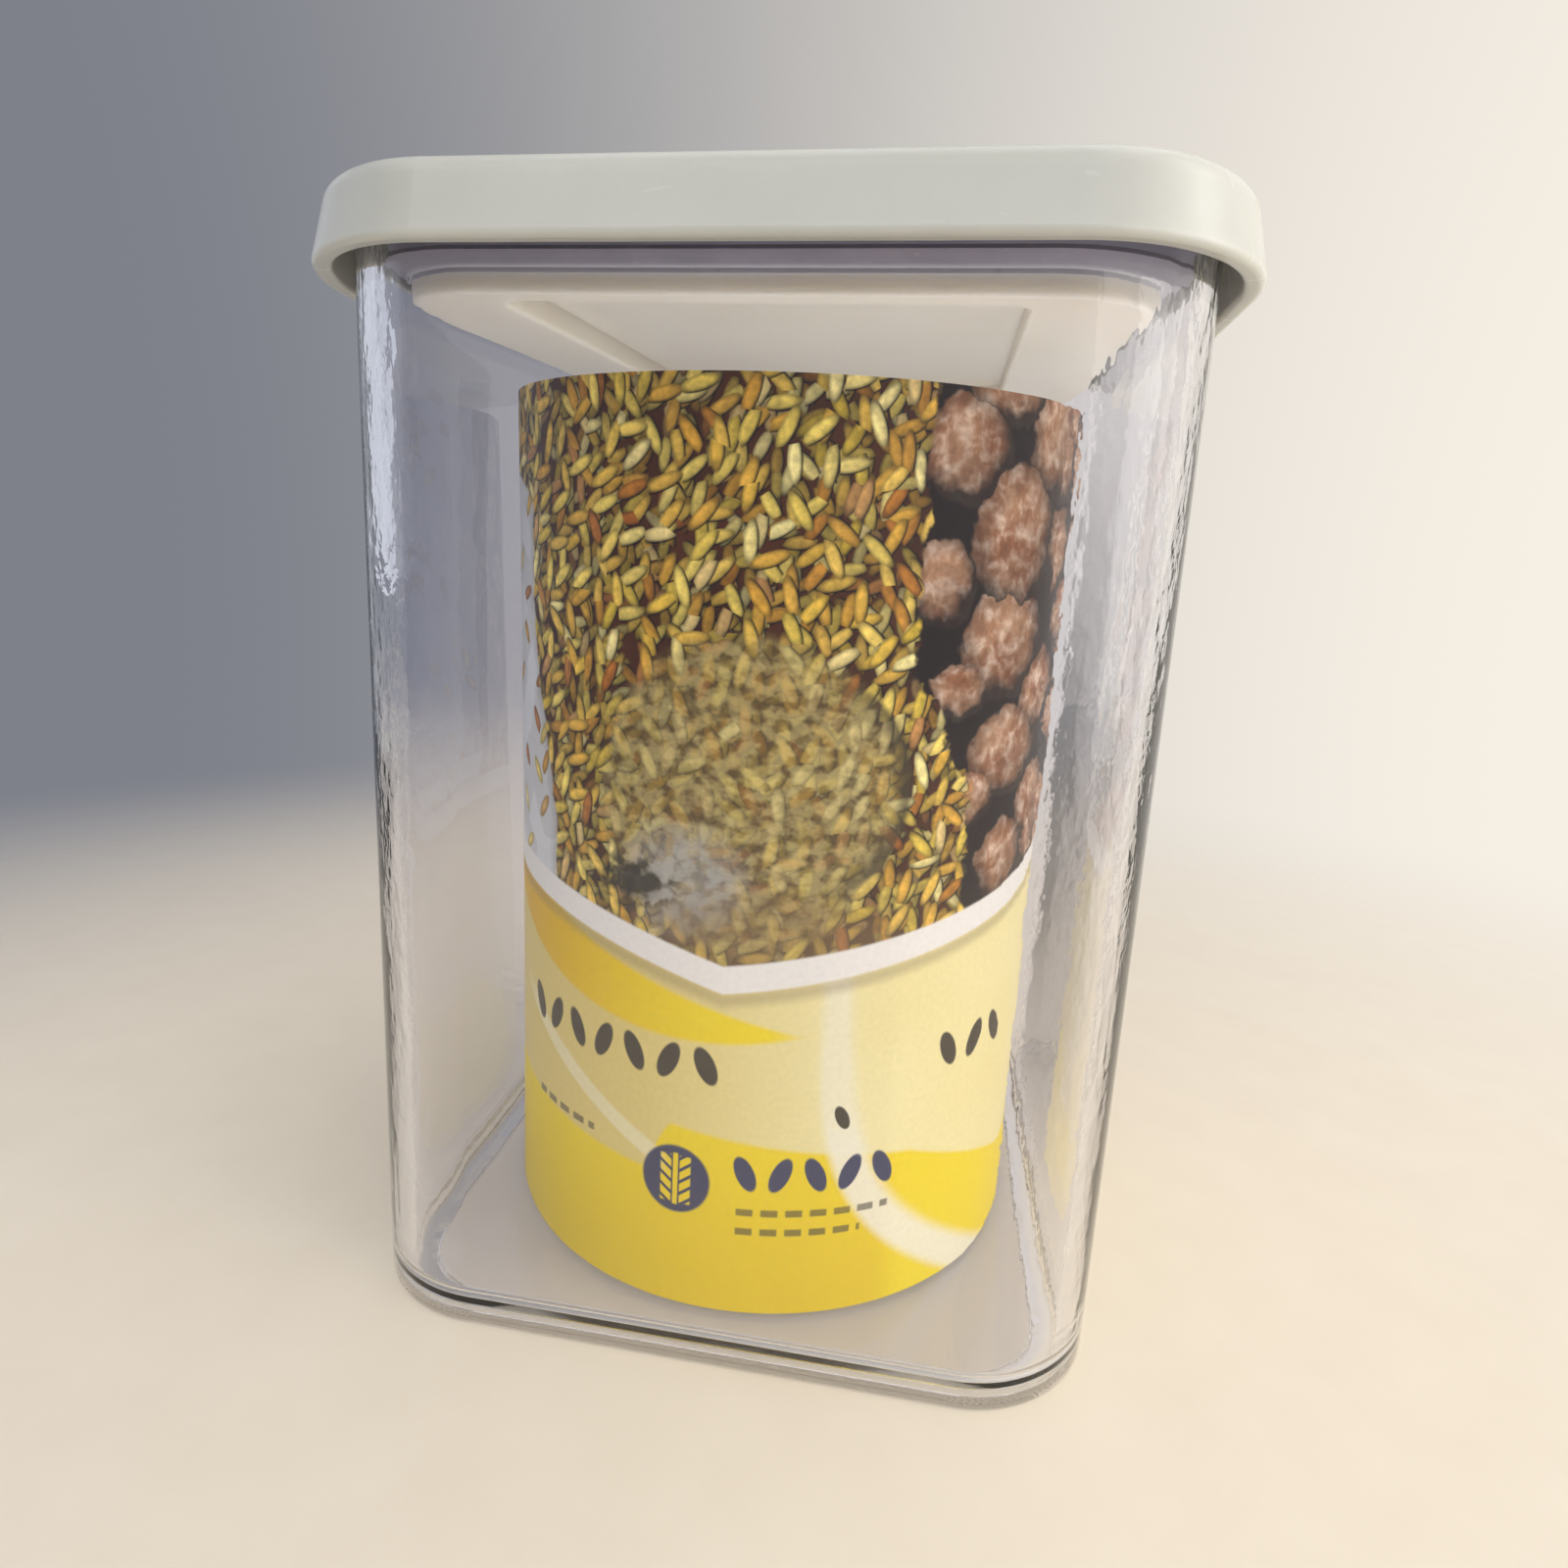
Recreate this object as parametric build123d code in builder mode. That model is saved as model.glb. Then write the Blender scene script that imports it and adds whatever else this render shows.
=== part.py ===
"""Square clear canister with a push-on lid and a rolled card insert.

Millimetres. The origin is on the resting surface, under the centre of the
canister. +Z is up, +X is to the right and the front face looks along -Y.
"""

import os
from math import atan, degrees

from build123d import *

# Canister: a thin-walled square box with round upright corners
BODY_WIDTH = 100.0
BODY_CORNER_R = 18.0
WALL = 2.6
FLOOR = 2.6
RIM_Z = 137.0
RIM_EDGE_R = 0.8
BASE_EDGE_R = 1.3
FLOOR_EDGE_R = 2.6
FOOT_WIDTH = 4.7
FOOT_HEIGHT = 0.9
GATE_R = 2.0
GATE_HEIGHT = 0.4

# Lid cover: a tapered cap whose skirt hangs outside the rim
LID_BOTTOM_Z = 131.5
LID_TOP_Z = 140.2
LID_WIDTH = 108.4
LID_CORNER_R = 21.0
LID_FLARE = 2.0
LID_WALL = 2.2
LID_PLATE = 2.4
LID_SHOULDER_R = 2.6
LID_LIP_R = 0.7
PAD_HEIGHT = 0.6
PAD_EDGE_R = 0.4
PAD_CLEARANCE = 0.7
LOCATING_RIB = 1.2

# Lid liner: the plug that goes into the mouth and carries the gasket
PLUG_BOTTOM_Z = 128.4
PLUG_WIDTH = 88.0
PLUG_CORNER_R = 13.0
PLUG_WALL = 1.8
PLUG_EDGE_R = 0.5
FLANGE_HEIGHT = 2.2
GROOVE_DEPTH = 2.4
GROOVE_HEIGHT = 4.6
PANEL_RISE = 3.0
PANEL_WIDTH = 60.0
PANEL_DEPTH = 80.0
PANEL_CORNER_R = 4.0

# Lid gasket: a soft ring in the groove, with two fins that reach for the wall
FIN_REACH = 3.0
FIN_THICKNESS = 0.8
FIN_LIFT = 1.1
FIN_ROOTS = (0.5, 2.6)

# Card insert: one printed sheet rolled into a tube, its ends lapped at the back
INSERT_R = 41.6
INSERT_CENTRE = (0.9, -2.2)
INSERT_HEIGHT = 118.8
CARD = 0.5
LAP_GAP = 0.3
LAP_ANGLE = 24.0

BODY_HALF = BODY_WIDTH / 2
MOUTH_HALF = BODY_HALF - WALL
MOUTH_CORNER_R = BODY_CORNER_R - WALL
FOOT_INSET = BASE_EDGE_R + FOOT_WIDTH
LID_HEIGHT = LID_TOP_Z - LID_BOTTOM_Z
LID_UNDERSIDE_Z = LID_TOP_Z - LID_PLATE
LID_TAPER = degrees(atan(LID_FLARE / LID_HEIGHT))
PAD_HALF = BODY_HALF - FOOT_INSET - PAD_CLEARANCE
PAD_CORNER_R = BODY_CORNER_R - FOOT_INSET - PAD_CLEARANCE
PLUG_HALF = PLUG_WIDTH / 2
FLANGE_TOP_Z = PLUG_BOTTOM_Z + FLANGE_HEIGHT
CORE_HALF = PLUG_HALF - GROOVE_DEPTH
CORE_CORNER_R = PLUG_CORNER_R - GROOVE_DEPTH
CAVITY_HALF = CORE_HALF - PLUG_WALL
CAVITY_CORNER_R = CORE_CORNER_R - PLUG_WALL
TUB_WIDTH = PANEL_WIDTH + 2 * PLUG_WALL
TUB_DEPTH = PANEL_DEPTH + PLUG_WALL
TUB_CORNER_R = PANEL_CORNER_R + PLUG_WALL
LAP_STEP = CARD + LAP_GAP


def round_square(half, radius, mode=Mode.ADD):
    """A square of the given half width with round corners."""
    return RectangleRounded(2 * half, 2 * half, radius, mode=mode)


# --- canister body ---------------------------------------------------------
with BuildPart() as canister_body:
    with BuildSketch(Plane.XY):
        round_square(BODY_HALF, BODY_CORNER_R)
    extrude(amount=RIM_Z)
    fillet(canister_body.faces().sort_by(Axis.Z)[0].edges(), BASE_EDGE_R)
    with BuildSketch(Plane.XY.offset(FLOOR)):
        round_square(MOUTH_HALF, MOUTH_CORNER_R)
    extrude(amount=RIM_Z - FLOOR, mode=Mode.SUBTRACT)
    level_faces = canister_body.faces().filter_by(Plane.XY).sort_by(Axis.Z)
    fillet(level_faces[1].edges(), FLOOR_EDGE_R)
    fillet(canister_body.faces().sort_by(Axis.Z)[-1].edges(), RIM_EDGE_R)
    # the underside is hollowed a little, so that the canister stands on a rim
    with BuildSketch(Plane.XY):
        round_square(BODY_HALF - FOOT_INSET, BODY_CORNER_R - FOOT_INSET)
    extrude(amount=FOOT_HEIGHT, mode=Mode.SUBTRACT)
    # the stub of the moulding gate, in the middle of that hollow
    with BuildSketch(Plane.XY.offset(FOOT_HEIGHT)):
        Circle(GATE_R)
    extrude(amount=-GATE_HEIGHT)

canister_body.part.label = "canister_body"

# --- lid cover -------------------------------------------------------------
with BuildPart() as lid_cover:
    with BuildSketch(Plane.XY.offset(LID_BOTTOM_Z)):
        round_square(LID_WIDTH / 2, LID_CORNER_R)
    extrude(amount=LID_HEIGHT, taper=LID_TAPER)
    fillet(lid_cover.faces().sort_by(Axis.Z)[-1].edges(), LID_SHOULDER_R)
    with BuildSketch(Plane.XY.offset(LID_BOTTOM_Z)):
        round_square(LID_WIDTH / 2 - LID_WALL, LID_CORNER_R - LID_WALL)
    extrude(amount=LID_UNDERSIDE_Z - LID_BOTTOM_Z, taper=LID_TAPER, mode=Mode.SUBTRACT)
    fillet(lid_cover.faces().sort_by(Axis.Z)[0].edges(), LID_LIP_R)
    # a low pad on top, which a canister stacked on this one fits over
    with BuildSketch(Plane.XY.offset(LID_TOP_Z)):
        round_square(PAD_HALF, PAD_CORNER_R)
    extrude(amount=PAD_HEIGHT)
    fillet(lid_cover.faces().sort_by(Axis.Z)[-1].edges(), PAD_EDGE_R)
    # a rib under the plate, which centres the liner's wall
    with BuildSketch(Plane.XY.offset(LID_UNDERSIDE_Z)):
        round_square(CAVITY_HALF, CAVITY_CORNER_R)
        round_square(CAVITY_HALF - LOCATING_RIB, CAVITY_CORNER_R - LOCATING_RIB, Mode.SUBTRACT)
    extrude(amount=-LOCATING_RIB)

lid_cover.part.label = "lid_cover"

# --- lid liner -------------------------------------------------------------
with BuildPart() as lid_liner:
    with BuildSketch(Plane.XY.offset(PLUG_BOTTOM_Z)):
        round_square(PLUG_HALF, PLUG_CORNER_R)
    extrude(amount=LID_UNDERSIDE_Z - PLUG_BOTTOM_Z)
    # the gasket's groove
    with BuildSketch(Plane.XY.offset(FLANGE_TOP_Z)):
        round_square(PLUG_HALF + GROOVE_DEPTH, PLUG_CORNER_R + GROOVE_DEPTH)
        round_square(CORE_HALF, CORE_CORNER_R, Mode.SUBTRACT)
    extrude(amount=GROOVE_HEIGHT, mode=Mode.SUBTRACT)
    # the cavity, closed above by the cover
    with BuildSketch(Plane.XY.offset(PLUG_BOTTOM_Z + PLUG_WALL)):
        round_square(CAVITY_HALF, CAVITY_CORNER_R)
    extrude(amount=LID_UNDERSIDE_Z, mode=Mode.SUBTRACT)
    # the raised panel: a low tub within the cavity, hollowed from below
    with BuildSketch(Plane.XY.offset(PLUG_BOTTOM_Z)):
        RectangleRounded(TUB_WIDTH, TUB_DEPTH, TUB_CORNER_R)
    extrude(amount=PANEL_RISE + PLUG_WALL)
    with BuildSketch(Plane.XY.offset(PLUG_BOTTOM_Z)):
        RectangleRounded(PANEL_WIDTH, PANEL_DEPTH, PANEL_CORNER_R)
    extrude(amount=PANEL_RISE, mode=Mode.SUBTRACT)
    fillet(lid_liner.faces().sort_by(Axis.Z)[0].edges(), PLUG_EDGE_R)

lid_liner.part.label = "lid_liner"

# --- lid gasket ------------------------------------------------------------
with BuildPart() as lid_gasket:
    with BuildSketch(Plane.XY.offset(FLANGE_TOP_Z), mode=Mode.PRIVATE) as groove_floor:
        round_square(CORE_HALF, CORE_CORNER_R)
    groove_line = groove_floor.sketch.face().outer_wire()
    along = groove_line % 0
    across = Plane(origin=groove_line @ 0, x_dir=along.cross(Vector(0, 0, 1)), z_dir=-along)
    with BuildSketch(across):
        Rectangle(GROOVE_DEPTH, GROOVE_HEIGHT, align=(Align.MIN, Align.MIN))
        for root in FIN_ROOTS:
            with BuildLine():
                Polyline(
                    (GROOVE_DEPTH / 2, root),
                    (GROOVE_DEPTH, root),
                    (GROOVE_DEPTH + FIN_REACH, root + FIN_LIFT),
                    (GROOVE_DEPTH + FIN_REACH, root + FIN_LIFT + FIN_THICKNESS / 2),
                    (GROOVE_DEPTH, root + FIN_THICKNESS),
                    (GROOVE_DEPTH / 2, root + FIN_THICKNESS),
                    close=True,
                )
            make_face()
    sweep(path=groove_line)

lid_gasket.part.label = "lid_gasket"

# --- card insert -----------------------------------------------------------
# Seen from above, the card winds inwards: half a turn about the centre, half a
# turn about a point a little in front of it, and a lap inside the first end.
with BuildPart() as card_insert:
    with BuildSketch(Plane.XY.offset(FLOOR)):
        with Locations(INSERT_CENTRE):
            with BuildLine():
                outlines = []
                for depth in (0, CARD):
                    first = CenterArc((0, 0), INSERT_R - depth, 90, 180)
                    second = CenterArc((0, -LAP_STEP / 2), INSERT_R - LAP_STEP / 2 - depth, 270, 180)
                    lap = CenterArc((0, 0), INSERT_R - LAP_STEP - depth, 90, LAP_ANGLE)
                    outlines.append((first @ 0, lap @ 1))
                for outer_end, inner_end in zip(*outlines):
                    Line(outer_end, inner_end)
            make_face()
    extrude(amount=INSERT_HEIGHT)

card_insert.part.label = "card_insert"

os.makedirs("parts", exist_ok=True)
for piece in (canister_body, lid_cover, lid_liner, lid_gasket, card_insert):
    export_step(piece.part, f"parts/{piece.part.label}.step")
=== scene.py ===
"""Looks of the square food canister: clear jar, pale lid, and a rolled printed card inside.

Metres, in the CAD frame: +Z up, the front looks along -Y, the origin under the canister's centre.
"""

from math import cos, pi, radians, sin, tan

import bpy
from mathutils import Matrix, Vector


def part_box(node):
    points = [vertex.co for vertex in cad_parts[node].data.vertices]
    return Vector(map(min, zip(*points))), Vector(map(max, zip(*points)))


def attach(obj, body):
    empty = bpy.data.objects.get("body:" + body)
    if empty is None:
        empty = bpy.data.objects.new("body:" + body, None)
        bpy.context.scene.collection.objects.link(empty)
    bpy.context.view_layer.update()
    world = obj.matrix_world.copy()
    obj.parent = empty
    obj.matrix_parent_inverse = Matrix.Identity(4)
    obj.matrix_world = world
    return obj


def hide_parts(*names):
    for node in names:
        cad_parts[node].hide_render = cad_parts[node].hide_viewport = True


MM = 0.001

# Camera
CAMERA_PLACE = Vector((23.13, -151.08, 98.91)) * MM
CAMERA_YAW = radians(8.794)
CAMERA_PITCH = radians(11.835)
CAMERA_ROLL = radians(2.958)
LENS = 21.695
SENSOR = 36.0

# Canister
JAR_CORNER_R = 18.0 * MM
JAR_WALL = 2.6 * MM
JAR_FLOOR = 2.6 * MM
JAR_BASE_EDGE_R = 1.3 * MM
JAR_FLOOR_EDGE_R = 2.6 * MM
JAR_RIM_EDGE_R = 0.8 * MM
JAR_SHADOW_TINT = (0.925, 0.93, 0.94)
# The jar's skin closes in a small square at the middle: half its width, and its corner radius
JAR_MIDDLE = 0.3 * MM
JAR_LEAST_R = 0.2 * MM
FOOT_INSET = 6.0 * MM
FOOT_HEIGHT = 0.9 * MM
FOOT_EDGE_RADII = (0.4 * MM, 0.25 * MM)
CORNER_STEPS = 28
SIDE_STEPS = 12
ARC_STEPS = 6
RIPPLE_DEPTH = 0.25 * MM
# Edges steeper than this stay sharp
SHARP_ANGLE = radians(38)
# Height of the gasket's lower lip, which is painted paler: painted light below the painted shade
# under the lid's skirt
GASKET_LIT_LIP = 0.85 * MM

# Card, rolled into a spiral whose ends lap at the back
CARD_LAP = radians(24)
CARD_THICK = 0.45 * MM
# Gap to the CAD card's outside, and how far the sheet waves inward
CARD_PLAY = 0.02 * MM
CARD_WAVE = 0.06 * MM
# How far the far end steps inward, from which turn on, and over how much of a turn
CARD_TUCK = 0.8 * MM
CARD_TUCK_START = 1.4 * pi
CARD_TUCK_REACH = 0.6 * pi
CARD_TURN_STEPS = 220
CARD_RISE_STEPS = 40

# Card print, in mm: u runs round the card from its front, z is the height.
# The picture starts at PRINT_START, ends at PICTURE_END and repeats after PRINT_PERIOD.
PRINT_RADIUS = 41.6
PRINT_PERIOD = 130.6
PRINT_START = -58.0
PICTURE_END = 66.0
# The white band: height of the middle of its point, and half its width
BAND_FOOT = 49.8
BAND_HALF = 1.8
# The dull round patch on the seeds
DISC_CENTRE = (1.5, 73.0)
DISC_R = 20.0
# Each layer of seeds: spacing, half length, half width, brightness, where in the scatter it starts
SEED_LAYERS = (
    (2.6, 2.1, 0.85, 0.4, 3.1),
    (3.0, 2.4, 0.9, 0.66, 11.7),
    (3.6, 2.7, 0.94, 0.98, 23.9),
    (4.4, 2.9, 1.0, 1.2, 41.3),
)
# How far the seeds are turned, in radians: the least, and the spread above it
SEED_TURN_LEAST = 0.1
SEED_TURN_SPREAD = 2.4
# The stray seeds on bare card: spacing, half length, half width, where the scatter starts
STRAY_SCATTER = (5.6, 2.4, 0.95, 57.0)
SEED_COLOURS = (
    (180, 120, 34),
    (240, 202, 86),
    (214, 158, 50),
    (252, 224, 112),
    (206, 174, 54),
    (255, 238, 158),
    (172, 98, 30),
    (242, 202, 74),
)
# Each nut: u, z, half width, half height
NUTS = (
    (27.0, 114.5, 7.4, 6.4),
    (34.0, 122.0, 7.8, 4.4),
    (45.0, 117.0, 7.6, 8.0),
    (37.5, 104.5, 9.0, 9.6),
    (25.0, 99.5, 5.2, 5.4),
    (37.0, 92.0, 9.2, 7.4),
    (29.0, 86.4, 5.2, 3.6),
    (39.5, 78.0, 8.6, 6.4),
    (47.0, 85.0, 6.4, 5.4),
    (33.0, 72.6, 4.2, 3.6),
    (40.5, 63.5, 6.2, 6.0),
    (49.0, 70.0, 6.4, 5.8),
)
# How far a nut's outline strays
NUT_LUMP = 4.0
# The nuts further round, as a scatter: spacing, half length, half width, where it starts
NUT_SCATTER = (9.0, 5.8, 5.0, 5.0)
NUT_GROUND = (24, 9, 5)
DARK_INK = (64, 54, 40)
NAVY_INK = (52, 56, 92)
WHITE_INK = (252, 246, 236)
# Rows of plain grain marks: u of the first, how many, step, z, half length, half width, ink
GRAIN_ROWS = (
    (-33.0, 7, 5.2, 37.8, 2.6, 1.45, DARK_INK),
    (32.5, 3, 5.4, 38.0, 2.6, 1.45, DARK_INK),
    (4.0, 5, 4.7, 23.2, 2.5, 1.35, NAVY_INK),
    (16.5, 1, 1.0, 31.2, 1.7, 0.95, DARK_INK),
)
# Plain dashed rules: first u, last u, z
RULES = ((2.0, 24.0, 17.6), (2.0, 20.0, 14.8), (-33.0, -19.0, 24.2))
# Round badge: u and z of its centre, and its radius
BADGE = (-5.5, 21.0)
BADGE_R = 4.9

# Stage: the floor's half width, the radii between which it fades out, and the surround's colours
FLOOR_HALF = 4.0
FLOOR_FADE = (0.08, 0.4)
ROOM_LEFT = (126, 129, 138)
ROOM_RIGHT = (247, 240, 229)

# Lights: what they aim at, and their colours
MIDDLE = (0, 0, 0.07)
WARM = (1.0, 0.98, 0.94)
COOL = (0.97, 0.98, 1.0)

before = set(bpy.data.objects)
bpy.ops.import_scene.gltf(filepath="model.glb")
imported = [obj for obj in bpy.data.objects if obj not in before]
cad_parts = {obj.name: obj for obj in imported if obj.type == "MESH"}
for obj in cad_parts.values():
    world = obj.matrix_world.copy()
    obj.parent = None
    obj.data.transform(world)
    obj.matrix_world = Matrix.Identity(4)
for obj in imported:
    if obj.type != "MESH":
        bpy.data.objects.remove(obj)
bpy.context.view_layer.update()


# --- shader helpers --------------------------------------------------------


def srgb(red, green, blue):
    """A display colour, 0 to 255, as the linear colour a shader takes."""
    channels = (red, green, blue)
    linear = [((v / 255 + 0.055) / 1.055) ** 2.4 if v > 10 else v / 3294.6 for v in channels]
    return (*linear, 1.0)


class Field:
    """A number that varies over a surface. Each operation on it adds a node."""

    def __init__(self, tree, socket):
        self.tree, self.socket = tree, socket

    def math(self, operation, *others):
        """The result of a Math node on this and the others."""
        node = self.tree.nodes.new("ShaderNodeMath")
        node.operation = operation
        for socket, value in zip(node.inputs, (self, *others)):
            feed(socket, value)
        return Field(self.tree, node.outputs[0])

    def __add__(self, other):
        return self.math("ADD", other)

    def __sub__(self, other):
        return self.math("SUBTRACT", other)

    def __mul__(self, other):
        return self.math("MULTIPLY", other)

    def __truediv__(self, other):
        return self.math("DIVIDE", other)

    def flip(self):
        """One minus this."""
        return self * -1 + 1

    def sharpen(self, low, high):
        """0 at low, 1 at high, and smooth between. low may be the larger."""
        node = self.tree.nodes.new("ShaderNodeMapRange")
        node.interpolation_type = "SMOOTHSTEP"
        feed(node.inputs["Value"], self)
        feed(node.inputs["From Min"], min(low, high))
        feed(node.inputs["From Max"], max(low, high))
        node.inputs["To Min"].default_value = 0 if low < high else 1
        node.inputs["To Max"].default_value = 1 if low < high else 0
        return Field(self.tree, node.outputs["Result"])


def feed(socket, value):
    """Give a socket a field, another socket or a plain value."""
    if isinstance(value, Field):
        value = value.socket
    if isinstance(value, bpy.types.NodeSocket):
        value.id_data.links.new(value, socket)
    else:
        socket.default_value = value


class Surface:
    """A material with one Principled shader, and short ways to add nodes to it."""

    def __init__(self, name, **sockets):
        self.material = bpy.data.materials.new(name)
        self.material.use_nodes = True
        self.tree = self.material.node_tree
        self.shader = self.tree.nodes["Principled BSDF"]
        self.output = self.tree.nodes["Material Output"]
        self.set(**sockets)

    def set(self, **sockets):
        """Feed the Principled shader's sockets, named with underscores."""
        for socket, value in sockets.items():
            feed(self.shader.inputs[socket.replace("_", " ")], value)

    def node(self, kind, **settings):
        """A new node of the material, with its settings."""
        node = self.tree.nodes.new(kind)
        for name, value in settings.items():
            setattr(node, name, value)
        return node

    def place(self, scale=(1, 1, 1), turn=0.0):
        """The point on the object, stretched and turned about Z."""
        source = self.node("ShaderNodeTexCoord").outputs["Object"]
        mapping = self.node("ShaderNodeMapping")
        mapping.inputs["Scale"].default_value = scale
        mapping.inputs["Rotation"].default_value = (0, 0, turn)
        feed(mapping.inputs["Vector"], source)
        return mapping.outputs[0]

    def split(self, vector):
        """The three parts of a vector or colour, as fields."""
        node = self.node("ShaderNodeSeparateXYZ")
        feed(node.inputs[0], vector)
        return [Field(self.tree, output) for output in node.outputs]

    def join(self, x, y):
        """A point in the plane, as a vector socket."""
        node = self.node("ShaderNodeCombineXYZ")
        feed(node.inputs["X"], x)
        feed(node.inputs["Y"], y)
        return node.outputs[0]

    def noise(self, vector, scale, detail=2.0, roughness=0.5, distortion=0.0):
        """Smooth random values about 0.5."""
        node = self.node("ShaderNodeTexNoise")
        feed(node.inputs["Vector"], vector)
        node.inputs["Scale"].default_value = scale
        node.inputs["Detail"].default_value = detail
        node.inputs["Roughness"].default_value = roughness
        node.inputs["Distortion"].default_value = distortion
        return Field(self.tree, node.outputs[0])

    def cells(self, vector):
        """Scattered points, one to each unit square: the nearest one's place and random colour."""
        node = self.node("ShaderNodeTexVoronoi", voronoi_dimensions="2D")
        feed(node.inputs["Vector"], vector)
        node.inputs["Scale"].default_value = 1.0
        return node.outputs

    def mix(self, share, first, second):
        """A colour between two, given as sockets or display colours."""
        node = self.node("ShaderNodeMix", data_type="RGBA")
        feed(node.inputs["Factor"], share)
        sockets = [s for s in node.inputs if s.type == "RGBA"]
        for socket, colour in zip(sockets, (first, second)):
            feed(socket, srgb(*colour) if isinstance(colour, tuple) else colour)
        return next(s for s in node.outputs if s.type == "RGBA")

    def shade(self, colour, brightness):
        """A colour made darker or brighter by a field."""
        node = self.node("ShaderNodeVectorMath", operation="SCALE")
        feed(node.inputs[0], colour)
        feed(node.inputs["Scale"], brightness)
        return node.outputs[0]

    def palette(self, value, *colours):
        """A colour picked from evenly spaced display colours."""
        node = self.node("ShaderNodeValToRGB")
        feed(node.inputs[0], value)
        stops = node.color_ramp.elements
        while len(stops) < len(colours):
            stops.new(0.5)
        # places first, because a stop that moves past another swaps with it
        for index in range(len(colours)):
            stops[index].position = index / (len(colours) - 1)
        for stop, colour in zip(stops, colours):
            stop.color = srgb(*colour)
        return node.outputs[0]

    def bump(self, height, depth):
        """Relief, with its full depth in metres."""
        node = self.node("ShaderNodeBump")
        node.inputs["Strength"].default_value = 1.0
        node.inputs["Distance"].default_value = depth
        feed(node.inputs["Height"], height)
        feed(self.shader.inputs["Normal"], node.outputs[0])

    def let_through(self, share, tint=(1.0, 1.0, 1.0)):
        """Let this share of the light pass straight through, with a tint."""
        clear = self.node("ShaderNodeBsdfTransparent")
        clear.inputs["Color"].default_value = (*tint, 1.0)
        mixer = self.node("ShaderNodeMixShader")
        feed(mixer.inputs[0], share)
        feed(mixer.inputs[1], self.shader.outputs[0])
        feed(mixer.inputs[2], clear.outputs[0])
        feed(self.output.inputs["Surface"], mixer.outputs[0])


# --- plastics --------------------------------------------------------------


def clear_plastic():
    """Clear styrenic plastic: flow ripples at the moulded corners, faint smudges and hairlines."""
    surface = Surface("clear_plastic", IOR=1.52, Transmission_Weight=1.0, Specular_IOR_Level=0.5)
    surface.set(Base_Color=srgb(246, 246, 251))
    x, y, z = surface.split(surface.place())
    # the ripples show at the upright corners, and more towards the rim
    corner = (x.math("ABSOLUTE").math("MINIMUM", y.math("ABSOLUTE"))).sharpen(30 * MM, 40 * MM)
    ripple = surface.noise(surface.place((1, 1, 0.35)), 210, 2, 0.5, 0.4)
    pucker = surface.noise(surface.place((1, 1, 0.6)), 620, 2, 0.55)
    swell = surface.noise(surface.place((1, 1, 0.5)), 28, 1)
    worked = corner * (z.sharpen(20 * MM, 120 * MM) * 0.75 + 0.25)
    relief = (ripple * 0.55 + pucker * 0.2) * (worked * 0.96 + 0.04) + swell * 0.6
    surface.bump(relief, RIPPLE_DEPTH)
    smudge = surface.noise(surface.place((1, 1, 0.7)), 60, 5, 0.6).sharpen(0.5, 0.75)
    hairline = surface.noise(surface.place((900, 900, 30)), 1, 3).sharpen(0.66, 0.72)
    surface.set(Roughness=smudge * 0.05 + hairline * 0.05 + 0.012)
    path = surface.node("ShaderNodeLightPath")
    surface.let_through(path.outputs["Is Shadow Ray"], JAR_SHADOW_TINT)
    return surface.material


def moulded_plastic(name, colour, shade, depth, roughness, seed_turn):
    """Milky plastic that lets some light through: fine grain, slow colour drift, light scuffs."""
    surface = Surface(name, IOR=1.47, Specular_IOR_Level=0.45)
    surface.set(Subsurface_Weight=1.0, Subsurface_Scale=depth)
    surface.shader.inputs["Subsurface Radius"].default_value = (1.0, 0.95, 0.85)
    drift = surface.noise(surface.place(turn=seed_turn), 22, 3, 0.6).sharpen(0.3, 0.7)
    mottle = surface.noise(surface.place(turn=seed_turn), 320, 3).sharpen(0.35, 0.7)
    base = surface.mix(drift, colour, shade)
    surface.set(Base_Color=surface.mix(mottle * 0.2, base, shade))
    grain = surface.noise(surface.place(), 2600, 2, 0.6)
    sink = surface.noise(surface.place(turn=seed_turn), 34, 2)
    hair = surface.noise(surface.place((60, 1500, 60), turn=seed_turn), 1, 3, 0.5, 0.4)
    hair = hair.sharpen(0.66, 0.72)
    surface.bump(grain * 0.1 + sink * 0.9 + hair * -0.05, 0.09 * MM)
    wipe = surface.noise(surface.place(turn=seed_turn), 45, 5, 0.65)
    surface.set(Roughness=wipe * 0.05 + hair * 0.04 + roughness)
    return surface.material


def silicone():
    """Translucent grey-violet silicone with a matt, slightly dusty skin; paler at its lower lip as
    painted light, while the grey-violet above is the silicone's own colour kept dark as painted
    shade under the lid's skirt.
    """
    surface = Surface("gasket_silicone", IOR=1.42, Subsurface_Weight=0.25, Subsurface_Scale=1.5 * MM)
    surface.shader.inputs["Subsurface Radius"].default_value = (1.0, 0.9, 1.0)
    cloud = surface.noise(surface.place(), 60, 4, 0.6).sharpen(0.3, 0.7)
    lint = surface.noise(surface.place(), 900, 2).sharpen(0.66, 0.74)
    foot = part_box("lid_gasket")[0].z
    # painted light and shade: the lowest band is painted paler, and the silicone above it stays
    # darker as painted shade under the lid's skirt
    lip = surface.split(surface.place())[2].sharpen(foot + GASKET_LIT_LIP, foot + GASKET_LIT_LIP * 0.5)
    base = surface.mix(cloud, (116, 112, 124), (130, 126, 137))
    base = surface.mix(lip, base, (176, 174, 178))
    surface.set(Base_Color=surface.mix(lint * 0.4, base, (150, 146, 146)))
    surface.bump(surface.noise(surface.place(), 1800, 2), 0.02 * MM)
    surface.set(Roughness=cloud * 0.12 + 0.36)
    return surface.material


# --- card print ------------------------------------------------------------


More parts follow.
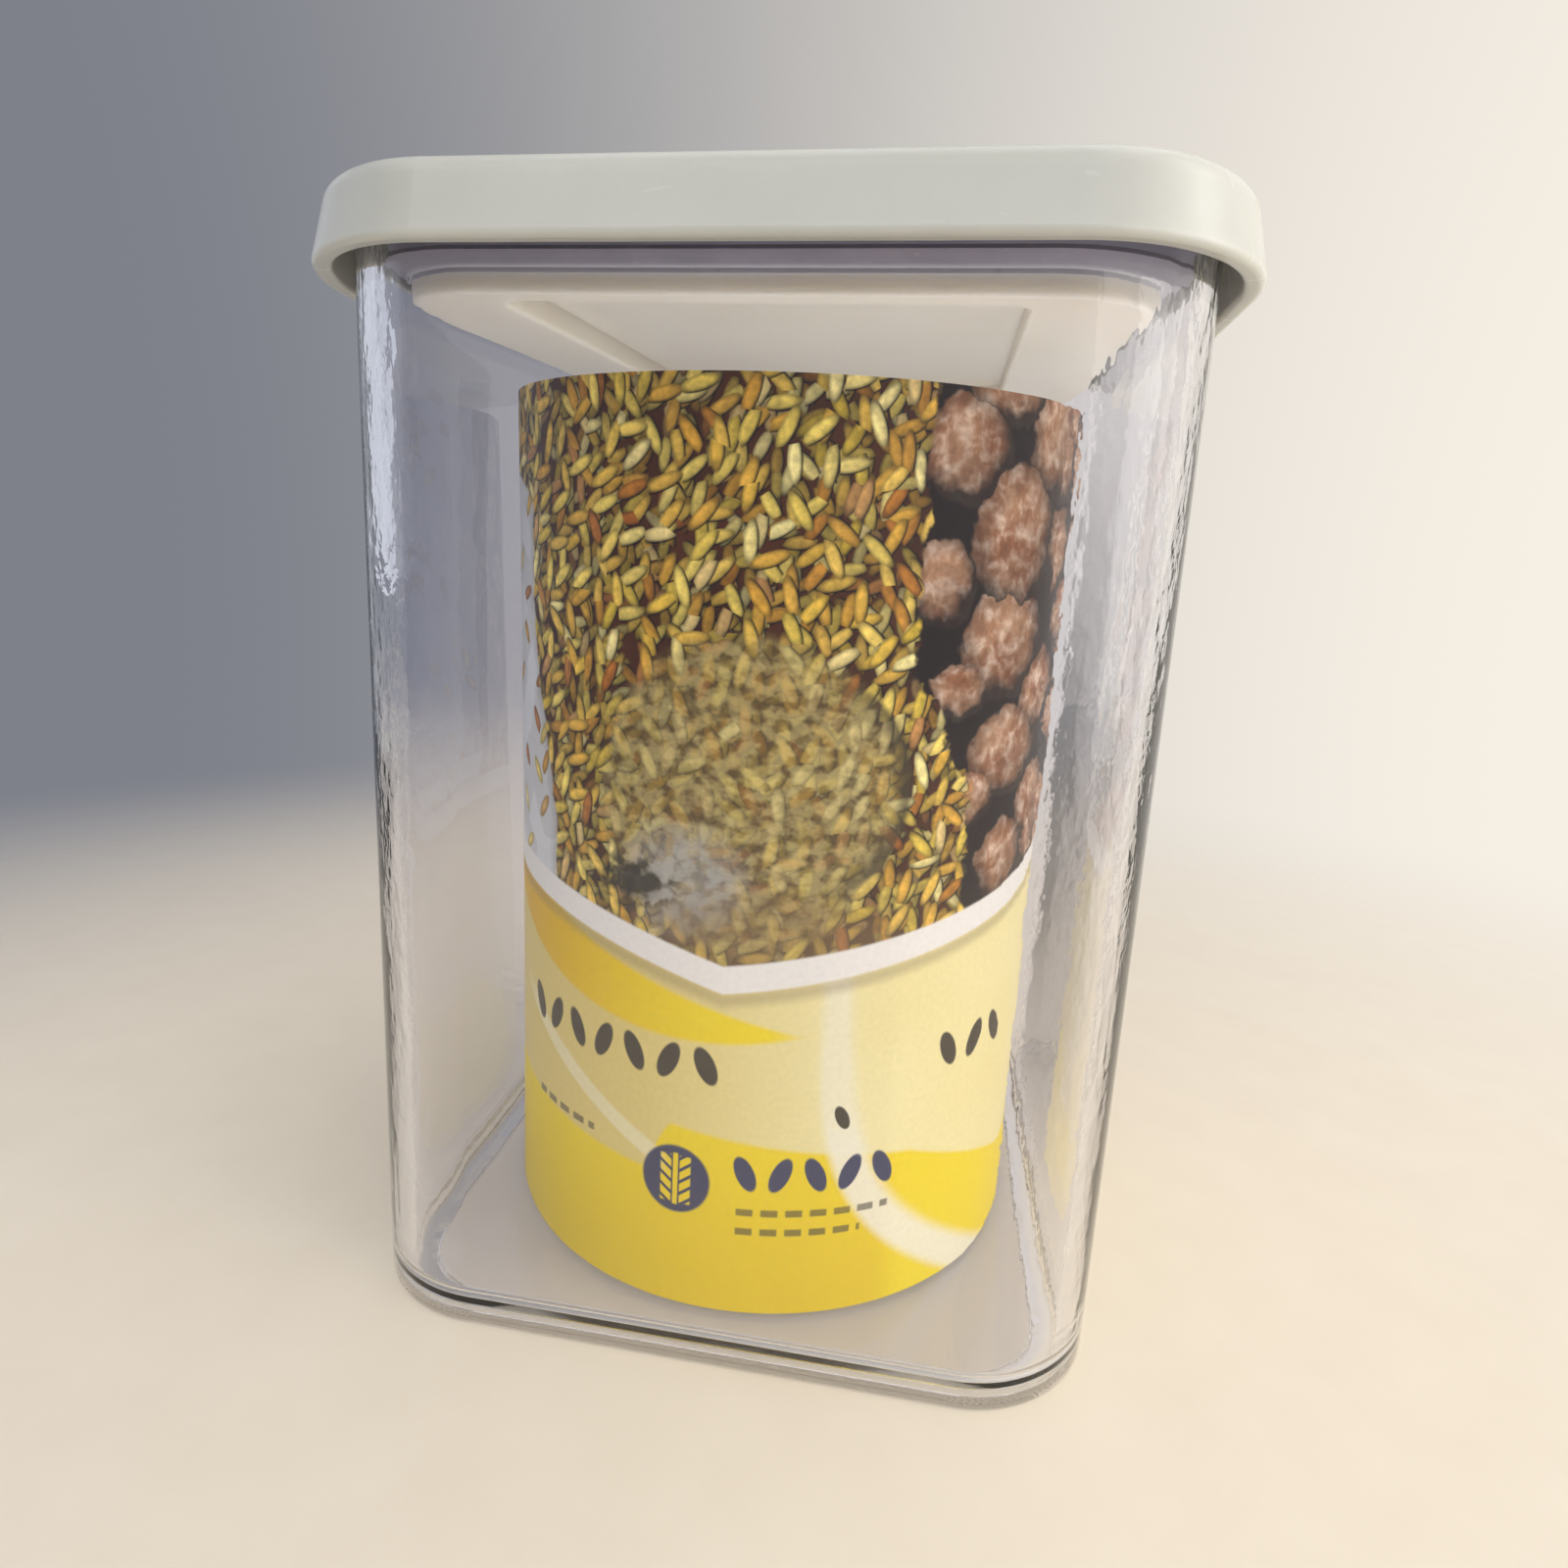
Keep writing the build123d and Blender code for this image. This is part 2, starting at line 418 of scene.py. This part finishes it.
def ellipse(u, z, centre, half_u, half_z):
    """Distance from a point, 1 on the ellipse of these half axes."""
    across, along = (u - centre[0]) / half_u, (z - centre[1]) / half_z
    return (across * across + along * along).math("SQRT")


def scatter(surface, u, z, spacing, half_length, half_width, shift):
    """One layer of seeds lying at random.

    Gives how far a point is inside its seed, 1 at the middle, the seed's own random number,
    and how far the point is across the seed, -1 to 1.
    """
    place = surface.join(u / spacing + shift, z / spacing + shift * 1.7)
    cell = surface.cells(place)
    at_u, at_z, _ = surface.split(place)
    seed_u, seed_z, _ = surface.split(cell["Position"])
    chance, lot, _ = surface.split(cell["Color"])
    du, dz = (at_u - seed_u) * spacing, (at_z - seed_z) * spacing
    turn = chance * SEED_TURN_SPREAD + SEED_TURN_LEAST
    wide, tall = turn.math("COSINE"), turn.math("SINE")
    along = (du * wide + dz * tall) / half_length
    across = (dz * wide - du * tall) / half_width
    reach = (along * along + across * across).math("SQRT")
    return reach.flip().math("MAXIMUM", 0.0), lot, across


def paint_seeds(surface, u, z):
    """A heap of golden and tan seeds with dark gaps, in layers that get brighter towards the top."""
    wander = surface.noise(surface.join(u, z), 0.09, 2)
    colour = surface.mix(wander, (36, 14, 4), (98, 50, 14))
    glint = surface.noise(surface.join(u, z), 0.75, 3, 0.65) * 1.45 + 0.24
    for spacing, half_length, half_width, level, shift in SEED_LAYERS:
        inside, lot, across = scatter(surface, u, z, spacing, half_length, half_width, shift)
        seed = surface.palette(lot, *SEED_COLOURS)
        lit = (inside.sharpen(0.0, 0.6) * 0.85 + across * 0.36 + 0.12) * glint * level
        colour = surface.mix(inside.sharpen(0.0, 0.2), colour, surface.shade(seed, lit))
    return colour


def paint_nuts(surface, u, z):
    """Shelled nuts on a dark ground: listed ones in front, a scatter of others further round."""
    rough_u = u + (surface.noise(surface.join(u, z), 0.3, 3) - 0.5) * NUT_LUMP
    rough_z = z + (surface.noise(surface.join(z, u), 0.3, 3) - 0.5) * NUT_LUMP
    height, _, lit = scatter(surface, rough_u, rough_z, *NUT_SCATTER)
    height = height * u.sharpen(44.0, 50.0)
    for centre_u, centre_z, half_u, half_z in NUTS:
        across, along = (rough_u - centre_u) / half_u, (rough_z - centre_z) / half_z
        inside = (across * across + along * along).math("SQRT").flip()
        nearer = inside.math("GREATER_THAN", height)
        lit = lit + (along * 0.7 - across * 0.5 - lit) * nearer
        height = height.math("MAXIMUM", inside)
    lumps = surface.noise(surface.join(u, z), 0.44, 3, 0.55, 0.3)
    grit = surface.noise(surface.join(z, u), 1.2, 2)
    patch = surface.noise(surface.join(u, z), 0.14, 2).sharpen(0.35, 0.65)
    skin = surface.mix(patch, (228, 172, 128), (196, 128, 84))
    skin = surface.mix(lumps.sharpen(0.4, 0.74), skin, (252, 220, 192))
    glow = (height.sharpen(0.0, 0.55) * 0.62 + lit * 0.5 + 0.08) * (lumps * 1.1 + grit * 0.4 + 0.02)
    lit_skin = surface.shade(skin, glow.math("MAXIMUM", 0.04))
    return surface.mix(height.sharpen(0.0, 0.1), NUT_GROUND, lit_skin)


def paint_band(u, z):
    """Height above the middle of the white band.

    The band has its point at the front and its crest where the picture repeats.
    """
    left, right = u.math("MINIMUM", 0.0) * -1, u.math("MAXIMUM", 0.0)
    far_left = (left - 38).math("MAXIMUM", 0.0)
    far_right = (right - 50).math("MAXIMUM", 0.0)
    left_arm = left * 0.3 - left * left * 0.003 + far_left * far_left * 0.009
    right_arm = right * 0.165 + right * right * 0.0005 - far_right * far_right * 0.0073
    return z - left_arm - right_arm - BAND_FOOT


def paint_lower(surface, u, z):
    """Cream ground with gold and yellow sweeps, and plain grain marks. Painted shade darkens the
    cream and the gold towards the card's left side, and the upright top of the pale sweep is a
    painted highlight.
    """
    drift = surface.noise(surface.join(u, z), 0.05, 1)
    cream = surface.mix(drift, (255, 243, 184), (248, 231, 156))
    # painted shade: the cream is darker and greener towards the card's left side, and at the far
    # right end, where it meets that side again
    cream = surface.mix(u.sharpen(-16.0, 20.0) * u.sharpen(72.0, 52.0), (236, 212, 128), cream)
    # gold sweep from the left to a tip just right of the front
    upper = u * u * 0.0017 - u * 0.267 + 45.5
    lower = u * u * 0.0069 + u * 0.065 + 41.0
    gold = (upper - z).math("MINIMUM", z - lower).sharpen(-0.3, 0.6) * u.sharpen(14.0, 6.0)
    # painted shade: the gold is darker towards the card's left side
    shaded_gold = surface.mix(u.sharpen(-40.0, 6.0), (238, 186, 0), (255, 226, 10))
    colour = surface.mix(gold, cream, shaded_gold)
    # yellow field at the foot: it steps up near the front, and again where the picture repeats
    step = u.sharpen(-11.0, -6.0) * (u * -0.03 + 7.5)
    droop = (u - 27).math("MAXIMUM", 0.0) * 0.24
    top = u * -0.1 + 20.6 + step - droop + u.sharpen(50.0, 72.0) * 18.7
    yellow = surface.mix(z.sharpen(6.0, 30.0), (242, 208, 0), (252, 222, 4))
    yellow = surface.mix(u.sharpen(22.0, 28.0), yellow, (252, 224, 8))
    colour = surface.mix((top - z).sharpen(-0.4, 0.5), colour, yellow)
    # pale stroke at the left, and a pale sweep that falls from the band and turns to the right: its
    # lower part, turning right, is print, and its upright top just below the band is a painted
    # highlight
    stroke = (z - 36.5 + (u + 34) * 0.5).math("ABSOLUTE").sharpen(1.7, 1.0)
    stroke = stroke * u.sharpen(-40.0, -34.0)
    colour = surface.mix(stroke * u.sharpen(-6.0, -10.0) * 0.8, colour, (250, 238, 190))
    ahead = u - 12
    rise = z - 14.5 + ahead * 0.5
    steep = rise + ahead * 0.5
    curve = ((ahead * rise - 76) / (ahead * ahead + steep * steep).math("SQRT")).math("ABSOLUTE")
    # the upright top of this pale sweep, just below the band near the front, is a painted highlight
    sweep = curve.sharpen(3.6, 1.4) * ahead.sharpen(0.0, 2.0)
    colour = surface.mix(sweep * (z.sharpen(34.0, 26.0) * 0.3 + 0.6), colour, (254, 248, 222))
    return paint_marks(surface, u, z, colour)


def paint_marks(surface, u, z, colour):
    """Plain leaning grains, thin rules and a round badge with an ear of grain."""
    for first, count, step, row, half_length, half_width, ink in GRAIN_ROWS:
        turn = (u - first) / step
        number = turn.math("ROUND").math("MAXIMUM", 0.0).math("MINIMUM", count - 1.0)
        du = u - number * step - first
        dz = z - row
        # neighbours lean opposite ways
        lean = number.math("PINGPONG", 1.0) * 1.1 - 0.55
        across = (du - dz * lean * 0.6) / half_width
        along = dz / half_length
        grain = (across * across + along * along).math("SQRT").sharpen(1.08, 0.9)
        colour = surface.mix(grain, colour, ink)
    for first, last, row in RULES:
        inside = (u - first).math("MINIMUM", u * -1 + last).sharpen(-0.2, 0.2)
        dash = (u * 1.9).math("SINE").sharpen(-0.75, -0.35)
        rule = (z - row).math("ABSOLUTE").sharpen(0.62, 0.38) * inside * dash
        colour = surface.mix(rule * 0.75, colour, DARK_INK)
    badge = ellipse(u, z, BADGE, BADGE_R, BADGE_R).sharpen(1.04, 0.94)
    side = (u - BADGE[0]).math("ABSOLUTE")
    rise = z - BADGE[1]
    stem = side.sharpen(0.45, 0.25) * rise.math("ABSOLUTE").sharpen(3.9, 3.6)
    bead = (rise - side * 0.75) / 1.7
    bead = (bead - bead.math("ROUND")).math("ABSOLUTE").sharpen(0.4, 0.28)
    ear = bead * side.sharpen(2.3, 2.0) * rise.math("ABSOLUTE").sharpen(3.6, 3.3)
    ear = ear * side.sharpen(0.5, 0.7)
    badge = badge * stem.math("MAXIMUM", ear).flip()
    return surface.mix(badge, colour, NAVY_INK)


def paint_disc(surface, u, z, colour):
    """Soft grey disc with a darker smudge at its lower left and a crescent at its right."""
    disc = ellipse(u, z, DISC_CENTRE, DISC_R, DISC_R)
    dull = disc.sharpen(1.04, 0.88) * 0.66
    blur = surface.noise(surface.join(u, z * 1.3), 0.42, 2).sharpen(0.38, 0.62)
    colour = surface.mix(dull, colour, surface.mix(blur, (112, 92, 48), (202, 182, 116)))
    smudge = ellipse(u, z, (-6.0, 62.0), 9.0, 7.5).sharpen(1.25, 0.4) * (blur * 0.4 + 0.45)
    colour = surface.mix(smudge, colour, (176, 174, 170))
    dark = ellipse(u, z, (-13.0, 61.0), 6.5, 3.6) + blur * 0.5 - 0.2
    colour = surface.mix(dark.sharpen(1.2, 0.4) * 0.9, colour, (30, 25, 20))
    tip = ellipse(u, z, (6.0, 55.0), 18.0, 6.0).sharpen(1.3, 0.6) * 0.45
    colour = surface.mix(tip, colour, (138, 110, 70))
    crescent = ellipse(u, z, (10.0, 74.5), 12.5, 13.5)
    crescent = crescent.sharpen(1.06, 0.98) * crescent.sharpen(0.74, 0.98)
    return surface.mix(crescent * u.sharpen(10.0, 19.0) * 0.85, colour, (70, 60, 38))


def paint_paper(surface, u, z, ragged, colour):
    """Bare card with a few stray seeds, between the end of one picture and the start of the next."""
    left_edge = z.sharpen(96.0, 62.0) * 7.5 - z.sharpen(106.0, 114.0) * 14 - 35.5 + ragged * 0.4
    before, after = (left_edge - u).sharpen(-0.3, 0.4), (u - PICTURE_END - ragged).sharpen(-0.3, 0.4)
    bare = before.math("MAXIMUM", after)
    cloud = surface.noise(surface.join(u, z), 0.06, 2)
    paper = surface.mix(cloud, (250, 249, 246), (216, 215, 213))
    stray, lot, across = scatter(surface, u, z, *STRAY_SCATTER)
    stray_share = stray.sharpen(0.0, 0.2) * lot.sharpen(0.58, 0.6)
    halo = stray.sharpen(-0.2, 0.05) * lot.sharpen(0.58, 0.6) * 0.2
    paper = surface.mix(halo, paper, (120, 104, 84))
    stray_seed = surface.shade(surface.palette(lot, *SEED_COLOURS), stray + across * 0.16 + 0.45)
    colour = surface.mix(bare, colour, surface.mix(stray_share, paper, stray_seed))
    rim = (left_edge - u).math("ABSOLUTE").sharpen(2.4, 0.0) * bare * 0.35
    return surface.mix(rim, colour, (120, 110, 98))


def card_print():
    """The printed side: seeds and nuts over a pointed white band, cream and yellow below."""
    surface = Surface("card_print", IOR=1.5, Specular_IOR_Level=0.15)
    low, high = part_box("card_insert")
    centre = (low + high) / 2
    x, y, z = surface.split(surface.place((1 / MM, 1 / MM, 1 / MM)))
    round_x, round_y = x - centre.x / MM, (y - centre.y / MM) * -1
    u = round_x.math("ARCTAN2", round_y) * PRINT_RADIUS
    u = (u - PRINT_START).math("FLOORED_MODULO", PRINT_PERIOD) + PRINT_START
    ragged = (surface.noise(surface.join(u, z), 0.22, 3) - 0.5) * 5.0

    colour = paint_disc(surface, u, z, paint_seeds(surface, u, z))
    # nuts to the right of the seeds
    border = z.sharpen(92.0, 71.0) * 10.5 + 21.5 + ragged * 1.7
    colour = surface.mix((u - border).sharpen(-0.4, 0.6), colour, paint_nuts(surface, u, z))
    colour = paint_paper(surface, u, z, ragged, colour)
    # the sweeps below the band, the soft shadow at the band's foot, and the band
    above = paint_band(u, z)
    colour = surface.mix(above.sharpen(0.9, -0.9), colour, paint_lower(surface, u, z))
    shadow = (above + BAND_HALF + 0.9).math("ABSOLUTE").sharpen(1.8, 0.0) * 0.45
    colour = surface.mix(shadow, colour, (150, 128, 96))
    band = above.math("ABSOLUTE").sharpen(BAND_HALF + 0.3, BAND_HALF - 0.2)
    colour = surface.mix(band, colour, WHITE_INK)

    mottle = surface.noise(surface.join(u, z), 1.3, 3)
    surface.set(Base_Color=surface.shade(colour, mottle * 0.16 + 0.92))
    fibre = surface.noise(surface.join(u, z * 0.5), 2.2, 3)
    buckle = surface.noise(surface.join(u, z), 0.03, 1)
    surface.bump(fibre * 0.04 + buckle * 0.9, 0.16 * MM)
    surface.set(Roughness=fibre * 0.14 + 0.3)
    return surface.material


def card_board():
    """The unprinted side and the cut edges: grey-white board with fibres."""
    surface = Surface("card_board", IOR=1.45, Specular_IOR_Level=0.3)
    fibre = surface.noise(surface.place((1, 1, 0.35)), 1400, 3, 0.7)
    fleck = surface.noise(surface.place(), 500, 2).sharpen(0.64, 0.72)
    base = surface.mix(fibre, (222, 218, 208), (196, 191, 180))
    surface.set(Base_Color=surface.mix(fleck * 0.4, base, (150, 140, 124)))
    surface.bump(fibre, 0.03 * MM)
    surface.set(Roughness=fibre * 0.15 + 0.68)
    return surface.material


# --- meshes ----------------------------------------------------------------


def new_object(name, vertices, faces, materials, indices=()):
    """A smooth-shaded mesh object, with its sharp edges kept sharp."""
    mesh = bpy.data.meshes.new(name)
    mesh.from_pydata(vertices, [], faces)
    for material in materials:
        mesh.materials.append(material)
    for polygon, index in zip(mesh.polygons, indices):
        polygon.material_index = index
    mesh.validate()
    mesh.shade_smooth()
    mesh.set_sharp_from_angle(angle=SHARP_ANGLE)
    piece = bpy.data.objects.new(name, mesh)
    bpy.context.scene.collection.objects.link(piece)
    return piece


def rounded_square(half, corner_r):
    """Points round a square with round corners, anticlockwise from the right side's foot."""
    corner_r = min(corner_r, half)
    core = half - corner_r
    points = []
    for quarter in range(4):
        turn = quarter * pi / 2
        centre = Vector((core, core)) @ Matrix.Rotation(-turn, 2)
        for step in range(CORNER_STEPS + 1):
            angle = turn + step / CORNER_STEPS * pi / 2
            points.append(centre + corner_r * Vector((cos(angle), sin(angle))))
        start = points[-1]
        following = Vector((-core, half)) @ Matrix.Rotation(-turn, 2)
        for step in range(1, SIDE_STEPS):
            points.append(start.lerp(following, step / SIDE_STEPS))
    return points


def soften(outline, radii):
    """A polyline as points, with each corner between its ends rounded to the given radius."""
    points = [Vector(outline[0])]
    for before, corner, after, radius in zip(outline, outline[1:], outline[2:], radii):
        before, corner, after = Vector(before), Vector(corner), Vector(after)
        inward, onward = (before - corner).normalized(), (after - corner).normalized()
        half_angle = inward.angle(onward) / 2
        reach = radius / tan(half_angle)
        centre = corner + (inward + onward).normalized() * radius / sin(half_angle)
        first, last = corner + inward * reach - centre, corner + onward * reach - centre
        for step in range(ARC_STEPS + 1):
            points.append(centre + radius * first.slerp(last, step / ARC_STEPS))
    points.append(Vector(outline[-1]))
    return points


def square_shell(name, section, half, corner_r, materials):
    """The skin that a section sweeps round a rounded square.

    Each point of the section is its inset from the square's side, and its height.
    """
    vertices, faces = [], []
    for inset, height in section:
        ring = rounded_square(half - inset, max(corner_r - inset, JAR_LEAST_R))
        vertices += [(p.x, p.y, height) for p in ring]
    count = len(vertices) // len(section)
    for level in range(len(section) - 1):
        for step in range(count):
            following = (step + 1) % count
            low, high = level * count, (level + 1) * count
            faces.append((low + step, low + following, high + following, high + step))
    faces.append(tuple(reversed(range(count))))
    last = (len(section) - 1) * count
    faces.append(tuple(range(last, last + count)))
    return new_object(name, vertices, faces, materials)


# --- canister --------------------------------------------------------------


def make_canister():
    """The jar: one skin, from under its foot, up the outside, over the rim and down to its floor."""
    low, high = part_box("canister_body")
    half, top = high.x, high.z
    middle = half - JAR_MIDDLE
    outline = [
        (middle, FOOT_HEIGHT),
        (FOOT_INSET, FOOT_HEIGHT),
        (FOOT_INSET, low.z),
        (0, low.z),
        (0, top),
        (JAR_WALL, top),
        (JAR_WALL, JAR_FLOOR),
        (middle, JAR_FLOOR),
    ]
    radii = (*FOOT_EDGE_RADII, JAR_BASE_EDGE_R, JAR_RIM_EDGE_R, JAR_RIM_EDGE_R, JAR_FLOOR_EDGE_R)
    section = soften(outline, radii)
    jar = square_shell("canister_shell", section, half, JAR_CORNER_R, [clear_plastic()])
    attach(jar, "canister")
    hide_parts("canister_body")


# --- card ------------------------------------------------------------------


def make_card():
    """A sheet rolled a little more than one turn, with its far end tucked inside at the back."""
    low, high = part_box("card_insert")
    centre, outer_r = (low + high) / 2, (high.x - low.x) / 2
    # angles run anticlockwise from +X; the sheet starts at the back and ends inside its own start
    start, sweep = pi / 2, 2 * pi + CARD_LAP
    vertices, faces, indices = [], [], []
    for inset in (0.0, CARD_THICK):
        for turn in range(CARD_TURN_STEPS + 1):
            share = turn / CARD_TURN_STEPS
            angle = start + share * sweep
            past = max(0.0, share * sweep - CARD_TUCK_START) / CARD_TUCK_REACH
            ease = min(past, 1.0)
            radius = outer_r - CARD_PLAY - inset - CARD_TUCK * ease * ease * (3 - 2 * ease)
            for rise in range(CARD_RISE_STEPS + 1):
                height = low.z + (high.z - low.z) * rise / CARD_RISE_STEPS
                breathe = CARD_WAVE * (1 - cos(3 * angle)) * sin(pi * rise / CARD_RISE_STEPS)
                r = radius - breathe
                vertices.append((centre.x + r * cos(angle), centre.y + r * sin(angle), height))
    column = CARD_RISE_STEPS + 1
    sheet = (CARD_TURN_STEPS + 1) * column
    for turn in range(CARD_TURN_STEPS):
        for rise in range(CARD_RISE_STEPS):
            a = turn * column + rise
            b = a + column
            faces += [(a, b, b + 1, a + 1), (sheet + a, sheet + a + 1, sheet + b + 1, sheet + b)]
            indices += [0, 1]
        for rise in (0, CARD_RISE_STEPS):
            a = turn * column + rise
            b = a + column
            rim = (a, sheet + a, sheet + b, b)
            faces.append(rim if rise == 0 else tuple(reversed(rim)))
            indices.append(1)
    for turn in (0, CARD_TURN_STEPS):
        for rise in range(CARD_RISE_STEPS):
            a = turn * column + rise
            end = (a, a + 1, sheet + a + 1, sheet + a)
            faces.append(end if turn == 0 else tuple(reversed(end)))
            indices.append(1)
    card = new_object("rolled_card", vertices, faces, (card_print(), card_board()), indices)
    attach(card, "canister")
    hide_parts("card_insert")
    return card


# --- lid -------------------------------------------------------------------


def dress_lid():
    """Give the CAD's lid pieces their plastics."""
    grey, grey_shade = (204, 205, 200), (197, 198, 192)
    cream, cream_shade = (226, 220, 208), (219, 212, 199)
    finishes = {
        "lid_cover": moulded_plastic("lid_plastic", grey, grey_shade, 2 * MM, 0.24, 0.4),
        "lid_liner": moulded_plastic("liner_plastic", cream, cream_shade, 4 * MM, 0.34, 1.3),
        "lid_gasket": silicone(),
    }
    for node, material in finishes.items():
        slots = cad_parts[node].data.materials
        slots.clear()
        slots.append(material)


# --- stage, camera and light -----------------------------------------------


def make_stage():
    """A pale floor that fades into the surround before the horizon."""
    half = FLOOR_HALF
    corners = [(-half, -half, 0), (half, -half, 0), (half, half, 0), (-half, half, 0)]
    surface = Surface("floor", Specular_IOR_Level=0.3, Roughness=0.6)
    x, y, _ = surface.split(surface.place())
    distance = (x * x + y * y).math("SQRT")
    grain = surface.noise(surface.place(), 90, 4)
    surface.set(Base_Color=surface.mix(grain, (240, 230, 214), (233, 222, 205)))
    surface.bump(grain, 0.05 * MM)
    surface.let_through(distance.sharpen(*FLOOR_FADE))
    floor = new_object("floor", corners, [(0, 1, 2, 3)], [surface.material])


def make_world():
    """Soft studio surround: cooler and dimmer at the left, warmer and brighter at the right."""
    world = bpy.data.worlds.new("studio")
    world.use_nodes = True
    tree = world.node_tree
    source = tree.nodes.new("ShaderNodeTexCoord").outputs["Generated"]
    parts = tree.nodes.new("ShaderNodeSeparateXYZ")
    feed(parts.inputs[0], source)
    across, ahead = Field(tree, parts.outputs[0]), Field(tree, parts.outputs[1])
    share = (across + ahead * 0.2).sharpen(-0.55, 0.75)
    mix = tree.nodes.new("ShaderNodeMix")
    mix.data_type = "RGBA"
    feed(mix.inputs[0], share)
    ends = [s for s in mix.inputs if s.type == "RGBA"]
    feed(ends[0], srgb(*ROOM_LEFT))
    feed(ends[1], srgb(*ROOM_RIGHT))
    colour = next(s for s in mix.outputs if s.type == "RGBA")
    feed(tree.nodes["Background"].inputs["Color"], colour)
    bpy.context.scene.world = world


def make_camera():
    """The photograph's camera: turned left of straight ahead, tilted down and rolled."""
    ahead = cos(CAMERA_PITCH)
    forward = Vector((-sin(CAMERA_YAW) * ahead, cos(CAMERA_YAW) * ahead, -sin(CAMERA_PITCH)))
    level = Vector((cos(CAMERA_YAW), sin(CAMERA_YAW), 0))
    upright = level.cross(forward)
    right = cos(CAMERA_ROLL) * level + sin(CAMERA_ROLL) * upright
    up = cos(CAMERA_ROLL) * upright - sin(CAMERA_ROLL) * level
    data = bpy.data.cameras.new("camera")
    data.lens, data.sensor_width = LENS, SENSOR
    data.clip_start = 0.005
    camera = bpy.data.objects.new("camera", data)
    turn = Matrix((right, up, -forward)).transposed().to_4x4()
    camera.matrix_world = Matrix.Translation(CAMERA_PLACE) @ turn
    bpy.context.scene.collection.objects.link(camera)
    bpy.context.scene.camera = camera


def area_light(name, place, target, size, watts, colour):
    """A rectangular light that faces its target."""
    data = bpy.data.lights.new(name, "AREA")
    data.shape, data.size, data.size_y = "RECTANGLE", size[0], size[1]
    data.energy, data.color = watts, colour
    light = bpy.data.objects.new(name, data)
    light.location = place
    light.rotation_mode = "QUATERNION"
    light.rotation_quaternion = (Vector(target) - Vector(place)).to_track_quat("-Z", "Y")
    bpy.context.scene.collection.objects.link(light)
    return light


def make_lights(card):
    """Soft studio lights, and two that stand for the light a pale room sends up from below."""
    key = area_light("key", (0.52, -0.28, 0.3), MIDDLE, (0.7, 0.56), 1.65, (1.0, 0.96, 0.9))
    area_light("front", (-0.1, -0.75, 0.95), MIDDLE, (0.9, 0.5), 3.2, (0.97, 0.985, 1.0))
    area_light("left", (-0.55, 0.03, 0.23), MIDDLE, (0.65, 0.54), 0.55, (0.9, 0.94, 1.0))
    area_light("top", (0.0, 0.1, 0.9), MIDDLE, (0.7, 0.7), 1.1, COOL)
    window = area_light("window", (0.5, -0.2, 0.2), MIDDLE, (0.2, 0.4), 0.5, WARM)
    area_light("glint", (0.44, -0.08, 0.5), (0.04, -0.04, 0.137), (0.09, 0.2), 0.15, WARM)
    # no bright rectangle behind the jar when it is seen from the left
    key.visible_transmission = window.visible_transmission = False
    under_place, plug = (0.016, -0.024, 0.04), (0.012, -0.02, 0.13)
    under = area_light("under", under_place, plug, (0.05, 0.05), 0.075, (1.0, 0.97, 0.92))
    share_light(under, [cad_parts["lid_liner"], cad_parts["lid_gasket"]])
    low_place, card_foot = (0.34, -0.42, 0.04), (0.01, -0.03, 0.02)
    low = area_light("low", low_place, card_foot, (0.25, 0.25), 0.55, (1.0, 0.97, 0.9))
    share_light(low, [card])


def share_light(light, takers):
    """Let only these pieces take a light, with nothing but the lid's cover in its way."""
    light.visible_camera = light.visible_glossy = light.visible_transmission = False
    receivers = bpy.data.collections.new(light.name + "_receivers")
    blockers = bpy.data.collections.new(light.name + "_blockers")
    for piece in takers:
        receivers.objects.link(piece)
    blockers.objects.link(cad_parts["lid_cover"])
    light.light_linking.receiver_collection = receivers
    light.light_linking.blocker_collection = blockers


make_camera()
make_canister()
card = make_card()
dress_lid()
make_stage()
make_world()
make_lights(card)
bpy.context.scene.view_settings.view_transform = "Standard"
